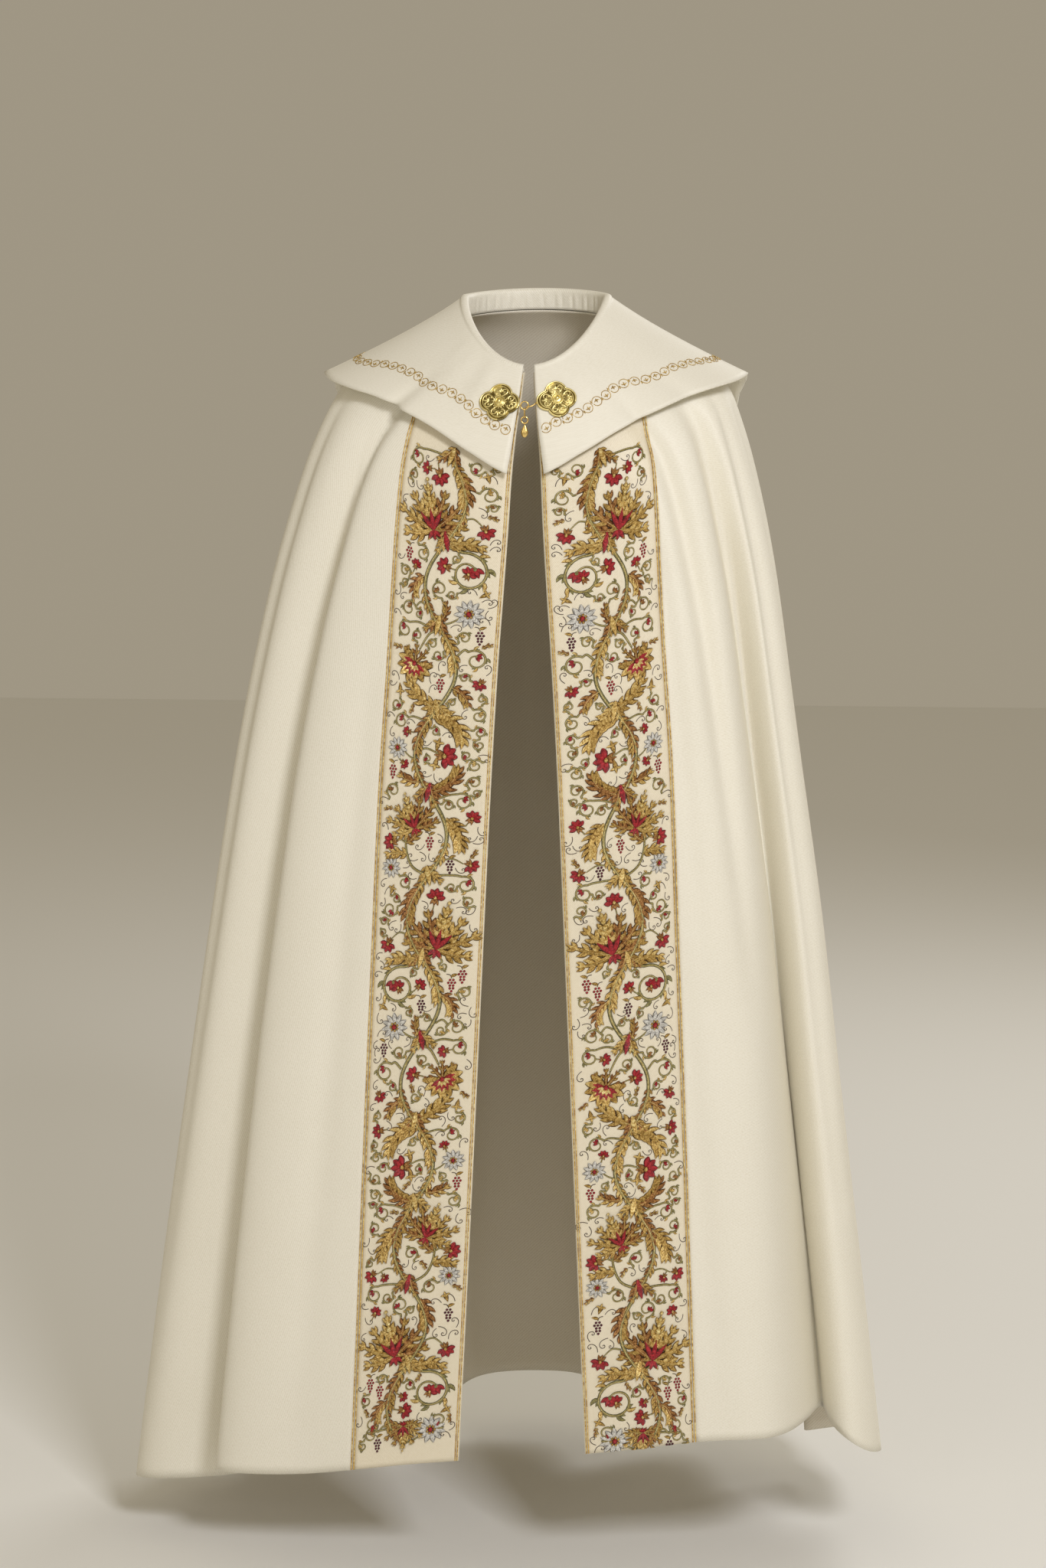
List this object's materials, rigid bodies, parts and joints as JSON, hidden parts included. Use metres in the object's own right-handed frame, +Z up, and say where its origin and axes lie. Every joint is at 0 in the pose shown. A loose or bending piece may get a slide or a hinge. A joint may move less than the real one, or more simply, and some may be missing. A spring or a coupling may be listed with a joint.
{
  "type": "cope vestment",
  "caption": "Long open ceremonial mantle with embroidered front bands, a wide cape collar, gold cord trim and a hooked neck clasp with a short hanging tail, in its hollow worn form.",
  "frame": {"origin": "on the middle line of the neck, level with the tops of the shoulders beside it, where the wearer's neck and shoulders hold the cope up", "axes": "+Z up along the garment, the front opening faces -Y, the wearer's left arm is at +X"},
  "size_m": [0.9335, 0.5527, 1.4811],
  "materials": {
    "ivory_wool_satin": "smooth ivory wool satin with a fine weave and a soft sheen",
    "ivory_band_satin": "ivory satin ground of the embroidered bands",
    "gold_cord": "twisted gold metallic thread",
    "gilt_cast_metal": "cast and gilt, bright with dark recesses"
  },
  "bodies": {
    "cope": {"mantle_right": "ivory_wool_satin", "mantle_back_right": "ivory_wool_satin", "mantle_back_left": "ivory_wool_satin", "mantle_left": "ivory_wool_satin", "collar": "ivory_wool_satin", "band_right": "ivory_band_satin", "band_left": "ivory_band_satin", "seam_cord_right": "gold_cord", "seam_cord_left": "gold_cord", "edge_cord_right": "gold_cord", "edge_cord_left": "gold_cord", "clasp_plate_right": "gilt_cast_metal", "clasp_plate_left": "gilt_cast_metal", "clasp_eye": "gilt_cast_metal", "eye_shank": "gilt_cast_metal", "clasp_hook": "gilt_cast_metal"},
    "tail_link": {"tail_link": "gilt_cast_metal"},
    "tail_drop": {"tail_ring": "gilt_cast_metal", "tail_drop": "gilt_cast_metal"}
  },
  "joints": [
    {"name": "tail_lift", "type": "hinge", "parent": "cope", "child": "tail_link", "pos_m": [-0.0025, -0.13302, -0.1341], "axis": [-1, 0, 0], "range_deg": [0, 75]},
    {"name": "tail_sway", "type": "hinge", "parent": "tail_link", "child": "tail_drop", "pos_m": [-0.0025, -0.13302, -0.1444], "axis": [0, -1, 0], "range_deg": [-12, 35]}
  ]
}
